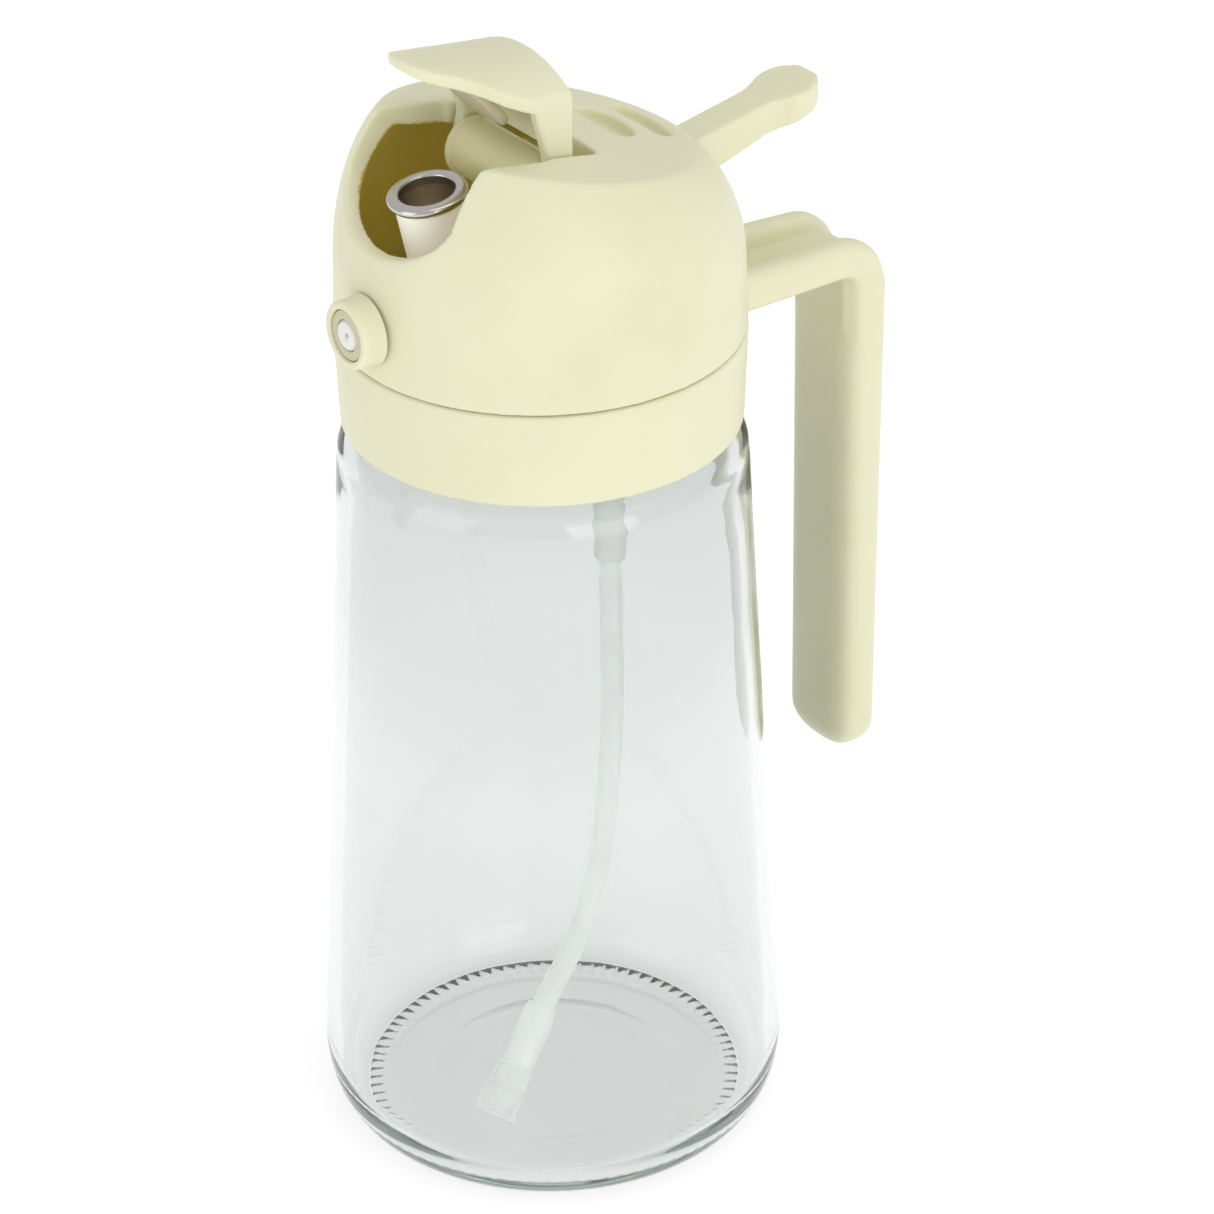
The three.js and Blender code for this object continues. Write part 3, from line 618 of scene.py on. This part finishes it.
def make_dome():
    bottom = sizes_of("dome_shell")[0].z
    shell = cut(dome_skin("dome", 0, 0, bottom), dome_skin("hollow", DOME_WALL, TOP_WALL, bottom - 2))
    pockets = [top_pocket(10.8, 16.0, 6.8), top_pocket(18.8, 22.4, 7.4)]
    slot = prism_along_x("slot", LEVER_SLOT, -LEVER_SLOT_HALF, LEVER_SLOT_HALF)
    nozzle_hole = bar("hole", (0, -28, NOZZLE_Z), (0, -40, NOZZLE_Z), NOZZLE_HOLE_RADIUS)
    cut(shell, window_tool(), channel_tool(), *pockets, slot, nozzle_hole)
    soften(shell, 0.42, 14)
    finish_piece(shell, "head", "dome_shell", "cream_plastic", CREAM, PAINTED_SHADE_OCHRE)
    # painted shade: the inner faces get the darker ochre copy of the cream plastic
    for face in shell.data.polygons:
        face.material_index = int(is_painted_shade_face(face))


def is_painted_shade_face(face):
    """True on the inside of the dome, which is coloured the darker ochre as painted shade, and not on the
    window's edges or in the pockets of the top.
    """
    centre = face.center / MM
    radius = math.hypot(centre.x, centre.y)
    outward = centre.x * face.normal.x + centre.y * face.normal.y
    below_edges = centre.z < top_face(centre.y) - 2.6
    under_top = face.normal.z < -0.5 and radius < CREASE_RADIUS and centre.z > 170
    window_cheek = abs(face.normal.x) > 0.97 and abs(centre.x) < WINDOW_HALF + 1
    facing_axis = outward < -0.6 * radius and radius > 17 and not window_cheek
    return below_edges and (under_top or facing_axis)


def top_pocket(low_y, high_y, half_width):
    """A shallow pocket in the top face, straight on the lid's side and bowed on the lever's side."""
    straight = [(-half_width, low_y), (half_width, low_y)]
    bow = []
    for i in range(13):
        across = half_width * math.cos(math.pi * i / 12)
        bow.append((across, low_y + (high_y - low_y) * (0.45 + 0.55 * math.sin(math.pi * i / 12))))
    tool = ngon_prism("pocket", straight + bow, 0, 12)
    for vertex in tool.data.vertices:
        vertex.co.z += top_face(vertex.co.y) - POCKET_DEPTH
    return tool


# ---------------------------------------------------------------- collar


def make_collar():
    low, high = sizes_of("collar")
    bottom_radius, top_radius, inner = 33.0, high.x, 28.4
    seam = high.z + 0.2
    section = [(inner, low.z), (bottom_radius, low.z), (top_radius, seam), (inner, seam)]
    ridge = [(inner, 138.2), (inner - 0.6, 137.2), (inner - 0.6, 136.4), (inner, 135.4)]
    collar = revolve("collar_ring", rounded(section, 0.7) + ridge, 160)
    finish_piece(sharpen(collar, 50), "head", "collar", "cream_plastic", CREAM)


# ---------------------------------------------------------------- spout
RIM_PLACE = Vector((0, -21.2, 177.9))
LEAN = math.radians(10)
SPOUT_TOP = 5.5
SPOUT_BOTTOM = 4.6


def on_spout():
    return Matrix.Translation(RIM_PLACE) @ Matrix.Rotation(LEAN, 4, "X")


def make_spout():
    low = sizes_of("pour_spout")[0].z
    length = (RIM_PLACE.z - low) / math.cos(LEAN)
    profile = [
        (4.8, -0.3),
        (SPOUT_TOP - 0.4, -0.3),
        (SPOUT_TOP, -0.9),
        (SPOUT_BOTTOM + 0.45, -11.0),
        (SPOUT_BOTTOM + 0.2, -11.4),
        (SPOUT_BOTTOM, 5.2 - length),
        (6.3, 3.8 - length),
        (6.3, 3.2 - length),
        (3.3, 3.2 - length),
        (4.0, -12.0),
    ]
    spout = move(revolve("spout_tube", rounded(profile, 0.3, 3), 72), on_spout())
    finish_piece(sharpen(spout), "head", "pour_spout", "white_plastic", SPOUT_WHITE)


def make_rim():
    outer, inner = 6.6, 4.5
    profile = [(inner - 0.75, -11.0), (inner - 0.25, -3.0), (inner - 0.05, -0.5)]
    for i in range(6):
        turn = math.pi / 2 * i / 5
        profile.append((inner + 0.35 - 0.35 * math.cos(turn), 0.75 + 0.4 * math.sin(turn)))
    for i in range(8):
        turn = math.pi / 2 * i / 7
        profile.append((outer - 0.75 + 0.75 * math.sin(turn), 0.4 + 0.75 * math.cos(turn)))
    groove = SPOUT_TOP + 0.25
    profile += [(outer - 0.05, 0.1), (outer - 0.4, -0.35), (groove, -0.6), (groove, -0.15)]
    profile += [(inner + 0.22, -0.15), (inner + 0.2, -0.5), (inner, -3.0), (inner - 0.5, -11.0)]
    rim = move(revolve("steel_rim", profile, 96), on_spout())
    finish_piece(sharpen(rim, 60), "head", "spout_rim", "steel", POLISHED, LINING)
    back = on_spout().inverted()
    for face in rim.data.polygons:
        place = back @ (face.center / MM)
        face.material_index = int(place.z < -0.7 and math.hypot(place.x, place.y) < inner - 0.05)


# ---------------------------------------------------------------- lid
LID_HALF = 12.8
LID_REAR = Vector((0, -2.0, 198.7))
LID_RISE = 0.12
TIP_FLARE = 1.0
ARCH_RADIUS = 22.0
# Half widths of the lid and their distances in front of its rear edge.
LID_PLAN = [
    (LID_HALF, 0),
    (LID_HALF, 4),
    (LID_HALF, 7.5),
    (11.3, 11.5),
    (8.8, 15),
    (6.7, 18.5),
    (5.5, 21.3),
    (3.7, 23.3),
    (0.8, 24.2),
]
LID_LENGTH = 24.0
LEG = 2.4
LID_PIN_BORE = 1.65
PAD_PLACE = Vector((0, -12.9, 191.9))
PAD_TILT = math.radians(-49)


def lid_section(half_width, distance):
    """One cross section of the arched plate: over the top, then back along the underside."""
    share = distance / LID_LENGTH
    crest = LID_REAR.z + LID_RISE * distance + TIP_FLARE * share**4
    thickness = 2.9 - 0.9 * share
    top = []
    for i in range(25):
        x = half_width * (1 - i / 12)
        droop = ARCH_RADIUS - math.sqrt(ARCH_RADIUS**2 - x**2)
        top.append(Vector((x, LID_REAR.y - distance, crest - droop)))
    return top + [point - Vector((0, 0, thickness)) for point in reversed(top)]


def on_pad():
    return Matrix.Translation(PAD_PLACE) @ Matrix.Rotation(PAD_TILT, 4, "X")


def make_lid():
    plate = loft("flip_lid", [lid_section(half, distance) for half, distance in curve(LID_PLAN, 48)])
    outline = [
        (lid_axis.y - 2.4, lid_axis.z),
        (lid_axis.y - 1.6, lid_axis.z - 2.4),
        (lid_axis.y + 1.6, lid_axis.z - 2.4),
        (lid_axis.y + 2.8, lid_axis.z),
        (LID_REAR.y - 0.1, lid_axis.z + 5.2),
        (LID_REAR.y - 0.1, LID_REAR.z - 4.4),
        (LID_REAR.y - 7.5, LID_REAR.z - 4.2),
        (LID_REAR.y - 7.0, LID_REAR.z - 6.5),
        (lid_axis.y - 1.0, lid_axis.z + 5.6),
    ]
    reach = LID_HALF - LEG + 0.5
    low, middle, high = lid_axis.z + 5.8, LID_REAR.z - 4.9, LID_REAR.z - 1.6
    crown = high - 0.7
    panel = [(reach, low), (reach, middle), (6, crown), (-6, crown), (-reach, middle), (-reach, low)]
    parts = [
        prism_along_x("leg", outline, LID_HALF - LEG, LID_HALF),
        prism_along_x("leg", outline, -LID_HALF, LEG - LID_HALF),
        prism_along_y("panel", panel, LID_REAR.y - 2.4, LID_REAR.y - 0.5),
        move(bar("boss", (0, 0, 1.9), (0, 0, 7.4), 2.6), on_pad()),
    ]
    pin_hole = bar("bore", (-20, lid_axis.y, lid_axis.z), (20, lid_axis.y, lid_axis.z), LID_PIN_BORE)
    lid = cut(join(plate, *parts), pin_hole)
    soften(lid, 0.28, 16)
    finish_piece(lid, "lid", "lid", "cream_plastic", CREAM)


def make_pad():
    thick = 1.6

    def outline(inset, z):
        return [Vector((x, y, z)) for x, y in squircle(6.2 - inset, 5.7 - inset, 3, 72)]

    steps = [(0.5, 0), (0.12, 0.12), (0, 0.4), (0, thick - 0.4), (0.12, thick - 0.12), (0.5, thick)]
    pad = move(loft("lid_seal", [outline(inset, z) for inset, z in steps]), on_pad())
    finish_piece(sharpen(pad, 50), "lid", "lid_pad", "silicone", SILICONE)


def make_barrel():
    end = 10.0
    profile = [
        (LID_PIN_BORE, -end),
        (5.1, -end),
        (5.2, -end + 0.15),
        (5.2, -end + 0.85),
        (5.1, -end + 1.0),
        (4.9, -end + 1.1),
        (4.9, end - 0.3),
        (4.7, end),
        (LID_PIN_BORE, end),
    ]
    turn = Matrix.Translation((0, lid_axis.y, lid_axis.z)) @ Matrix.Rotation(math.pi / 2, 4, "Y")
    barrel = move(revolve("barrel", profile, 72), turn)
    front, back, low, high = lid_axis.y + 3, 5.8, 175.4, 178.2
    web = prism_along_x("web", [(front, low), (back, low), (back, high), (front, high)], -8, 8)
    join(barrel, web)
    finish_piece(sharpen(barrel), "head", "lid_hinge_barrel", "inner_plastic", INNER)


# ---------------------------------------------------------------- lever
LEVER_HALF = 3.6
DISC_Y = 49.6
DISC_RADIUS = 5.6
LEVER_UNDERSIDE = [(-6.6, 160.0), (-4.6, 158.4), (20.0, 165.8), (27.5, 166.6), (54.8, 175.2)]
LEVER_TOP = [(54.8, 179.3), (27.5, 174.3), (20.0, 171.1), (-5.5, 163.2), (-6.6, 162.0)]


def make_lever():
    low, high = 150, 190
    half, neck_y, flare, flare_y = LEVER_HALF, 43.8, 4.6, 46.8
    plan = [(-half, -10), (half, -10), (half, neck_y), (flare, flare_y), (-flare, flare_y), (-half, neck_y)]
    disc = bar("disc", (0, DISC_Y, low + 1), (0, DISC_Y, high - 1), DISC_RADIUS, count=72)
    body = join(ngon_prism("thumb_lever", plan, low, high), disc)
    side = prism_along_x("side", LEVER_UNDERSIDE + LEVER_TOP, -9, 9)
    body = combine(body, [side], "INTERSECT")
    bore = bar("bore", (-9, lever_axis.y, lever_axis.z), (9, lever_axis.y, lever_axis.z), 1.55)
    lever = cut(body, bore)
    soften(lever, 0.3, 14)
    finish_piece(lever, "lever", "lever", "cream_plastic", CREAM)


# ---------------------------------------------------------------- nozzle
# Outlines of (radius, distance in front of the bottle's axis).
BEZEL = [
    (3.2, 33.5),
    (6.05, 33.5),
    (5.75, 34.0),
    (5.65, 34.8),
    (5.65, 37.3),
    (5.35, 37.6),
    (4.55, 37.6),
    (4.35, 37.4),
    (4.35, 35.4),
    (3.2, 35.4),
]
RETAINER = [(2.65, 35.7), (4.2, 35.7), (4.2, 37.2), (2.65, 37.3)]
INSERT = [(0.4, 34.4), (2.55, 34.4), (2.55, 37.0), (2.2, 37.5), (1.0, 37.55), (0.7, 37.3), (0.4, 37.2)]


def on_nozzle():
    return Matrix.Translation((0, 0, NOZZLE_Z)) @ Matrix.Rotation(math.pi / 2, 4, "X")


def nozzle_ring(name, outline, edge, count):
    return sharpen(move(revolve(name, rounded(outline, edge, 3), count), on_nozzle()), 50)


def make_nozzle():
    bezel = nozzle_ring("bezel_ring", BEZEL, 0.25, 96)
    finish_piece(bezel, "head", "nozzle_bezel", "cream_plastic", CREAM)
    retainer = nozzle_ring("retainer_ring", RETAINER, 0.25, 72)
    finish_piece(retainer, "head", "nozzle_retainer", "silicone", AMBER)
    insert = nozzle_ring("spray_insert", INSERT, 0.15, 64)
    finish_piece(insert, "head", "nozzle_insert", "white_plastic", WHITE)


# ---------------------------------------------------------------- handle
RAIL_X = 7.4
GRIP_Y = 62.2
GRIP_BOTTOM_Z, GRIP_TOP_Z = 47.2, 141.3
GRIP_HALF_WIDTH, GRIP_HALF_DEPTH = 9, 5
GRIP_TAPER = 0.94


def squircle(half_width, half_depth, power, count):
    points = []
    for point in circle(1, 0, count):
        bend = [math.copysign(abs(v) ** (2 / power), v) for v in (point.x, point.y)]
        points.append((half_width * bend[0], half_depth * bend[1]))
    return points


def make_rail(side):
    """A rail that starts under the dome and turns down into the grip, drawing in a little on the way."""
    start_y, start_z, end_z = 34.3, 147.2, 146.4
    bend_y, reach = 56.6, 5.4

    def slab(y, z, tilt, share):
        x = side * (RAIL_X - 0.9 * share)
        section = squircle(2.6 - 0.1 * share, 3.6 - 0.2 * share, 3, 40)
        return [Vector((x + u, y + w * math.sin(tilt), z + w * math.cos(tilt))) for u, w in section]

    rings = []
    for i in range(9):
        share = i / 8
        y = start_y + (bend_y - start_y) * share
        rings.append(slab(y, start_z + (end_z - start_z) * share, 0, share))
    for i in range(1, 13):
        angle = math.pi / 2 * i / 12
        rings.append(slab(bend_y + reach * math.sin(angle), end_z - reach * (1 - math.cos(angle)), angle, 1))
    rings.append(slab(bend_y + reach, 130, math.pi / 2, 1))
    return loft("rail", rings)


def make_handle():
    outline = squircle(GRIP_HALF_WIDTH, GRIP_HALF_DEPTH, 3, 72)
    rings = []
    for i in range(13):
        angle = math.pi / 2 * (0.12 + 0.88 * i / 12)
        z = GRIP_BOTTOM_Z + 6 * (1 - math.cos(angle))
        size = GRIP_TAPER * math.sin(angle)
        rings.append([Vector((x * size, GRIP_Y + y * size, z)) for x, y in outline])
    rings.append([Vector((x, GRIP_Y + y, GRIP_TOP_Z)) for x, y in outline])
    grip = loft("handle_grip", rings)
    web = prism_along_x("web", [(35.0, 144.3), (GRIP_Y, 144.3), (GRIP_Y, 146.3), (35.0, 146.3)], -6.9, 6.9)
    bend = [(57.6, 133.1), (64.4, 133.1), (63.8, 138.6), (60.4, 143.0), (57.6, 145.2)]
    corner = prism_along_x("corner", bend, -6.6, 6.6)
    lug = prism_along_x("lug", [(34.05, 144.45), (37.4, 144.45), (37.4, 159), (34.05, 159)], -4.1, 4.1)
    handle = join(grip, make_rail(1), make_rail(-1), web, corner, lug)
    soften(handle, 0.45, 12)
    finish_piece(handle, "head", "handle", "cream_plastic", CREAM)


# ---------------------------------------------------------------- dip tube
TUBE_ROUTE = [
    (0, 13.6, 110),
    (0, 13.7, 92),
    (0, 13.6, 70),
    (0.5, 11.4, 49.4),
    (1.5, 8.6, 39.7),
    (3, 4.6, 32.6),
    (4.6, -0.4, 27.2),
    (6.6, -6.2, 22.4),
    (9.6, -14, 15),
]
FOOT_END = Vector((12.6, -21.6, 8.6))
TUBE_RADIUS, TUBE_BORE = 2.0, 1.2


def make_tube():
    tube = hose_mesh("suction_tube", TUBE_ROUTE, TUBE_RADIUS, TUBE_BORE)
    finish_piece(sharpen(tube, 60), "head", "dip_tube", "clear_hose", HOSE)


def sleeve(name, start, end, profile, node, slots):
    """A turned sleeve along a line, with drain slots around its lower end."""
    run = end - start
    length = run.length
    turn = Vector((0, 0, 1)).rotation_difference(run).to_matrix().to_4x4()
    piece = revolve(name, rounded([(r, z * length) for r, z in profile], 0.2, 3), 64)
    for i in range(slots):
        angle = math.pi * i / slots
        across = Vector((math.cos(angle), math.sin(angle), 0)) * 8
        low = Vector((0, 0, length * 0.86))
        cut(piece, bar("slot", low - across, low + across, 0.45, count=16))
    move(piece, Matrix.Translation(start) @ turn)
    finish_piece(sharpen(piece), "head", node, "clear_hose", HOSE)


def make_strainer():
    bend, end = Vector(TUBE_ROUTE[-2]), Vector(TUBE_ROUTE[-1])
    first = [(2.3, 0), (2.7, 0), (2.9, 0.12), (2.9, 1), (2.3, 1)]
    sleeve("tube_sleeve", bend.lerp(end, 0.1), end.lerp(FOOT_END, 0.12), first, "strainer_sleeve", 0)
    second = [(2.2, 0), (3.1, 0), (3.3, 0.4), (3.8, 0.55), (3.8, 1), (2.2, 1)]
    sleeve("strainer_cup", end.lerp(FOOT_END, 0.16), FOOT_END, second, "strainer_foot", 3)


# ---------------------------------------------------------------- return spring
SPRING_TURNS = 7
SPRING_WIRE = 0.4  # radius of the wire
STEPS_PER_TURN = 24


def make_spring():
    """The return spring under the piston, as a fixed coil at its CAD length; the real one shortens as the
    pump is pressed.
    """
    low, high = sizes_of("pump_spring")
    middle = (low + high) / 2
    radius = (high.x - low.x) / 2 - SPRING_WIRE
    rise = high.z - low.z - 2 * SPRING_WIRE
    steps = SPRING_TURNS * STEPS_PER_TURN
    wire = circle(SPRING_WIRE, 0, 12)
    rings = []
    for i in range(steps + 1):
        turn = Matrix.Rotation(2 * math.pi * SPRING_TURNS * i / steps, 4, "Z")
        centre = Vector((middle.x, middle.y, low.z + SPRING_WIRE + rise * i / steps))
        rings.append([centre + turn @ Vector((radius + point.x, 0, point.y)) for point in wire])
    spring = loft("return_spring", rings)
    finish_piece(spring, "head", "pump_spring", "steel", BRIGHT)
    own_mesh(spring)


# ---------------------------------------------------------------- pieces that keep their CAD shape
KEPT = {
    "neck_gasket": SILICONE,
    # painted shade: the deck, under the dome, gets the darker ochre copy of the cream plastic
    "deck": PAINTED_SHADE_OCHRE,
    "lid_pin": BRIGHT,
    "lever_pin": BRIGHT,
    "pump_barrel": NATURAL,
    "piston": WHITE,
    "piston_seal": SILICONE,
    "valve_ball": BRIGHT,
    "spray_hose": HOSE,
    "nozzle_body": WHITE,
    "handle_screw_1": BRIGHT,
    "handle_screw_2": BRIGHT,
    "vent_valve": SILICONE,
}


def dress_kept_nodes():
    for node, material in KEPT.items():
        obj = frame["nodes"][node]
        for place in obj.material_slots:
            place.material = material


make_bottle()
make_dome()
make_collar()
make_spout()
make_rim()
make_lid()
make_pad()
make_barrel()
make_lever()
make_nozzle()
make_handle()
make_tube()
make_strainer()
make_spring()
dress_kept_nodes()

# ---------------------------------------------------------------- floor and light


def make_floor():
    half = 6.0
    corners = [(-half, -half, 0), (half, -half, 0), (half, half, 0), (-half, half, 0)]
    floor = mesh_object("floor", corners, [(0, 1, 2, 3)])
    m = Nodes("floor_paper")
    m.set(Base_Color=(0.45, 0.45, 0.45, 1), Roughness=0.9, Specular_IOR_Level=0.05)
    m.set(Emission_Color=(1, 1, 1, 1), Emission_Strength=0.72)
    floor.data.materials.append(m.material)


def area_light(name, place, aim, size, power):
    light = bpy.data.lights.new(name, "AREA")
    light.shape = "RECTANGLE"
    light.size, light.size_y = size
    light.energy = power
    obj = bpy.data.objects.new(name, light)
    place, aim = Vector(place), Vector(aim)
    obj.matrix_world = Matrix.Translation(place) @ (place - aim).to_track_quat("Z", "Y").to_matrix().to_4x4()
    bpy.context.scene.collection.objects.link(obj)


def make_light():
    world = bpy.data.worlds.new("studio")
    world.use_nodes = True
    background = world.node_tree.nodes["Background"]
    background.inputs["Color"].default_value = (1.0, 1.0, 1.0, 1)
    background.inputs["Strength"].default_value = 0.62
    bpy.context.scene.world = world
    area_light("key", (1.0, -0.05, 0.42), (0, 0, 0.13), (0.7, 0.8), 2.7)
    area_light("fill", (-0.05, -1.0, 0.45), (0, 0, 0.12), (0.6, 0.9), 1.3)
    area_light("top", (0.1, 0.2, 1.1), (0, 0, 0.1), (0.8, 0.8), 1.9)


make_floor()
make_light()
bpy.context.scene.view_settings.view_transform = "Standard"
bpy.context.scene.cycles.max_bounces = 32
bpy.context.scene.cycles.glossy_bounces = 16
bpy.context.scene.cycles.transmission_bounces = 24
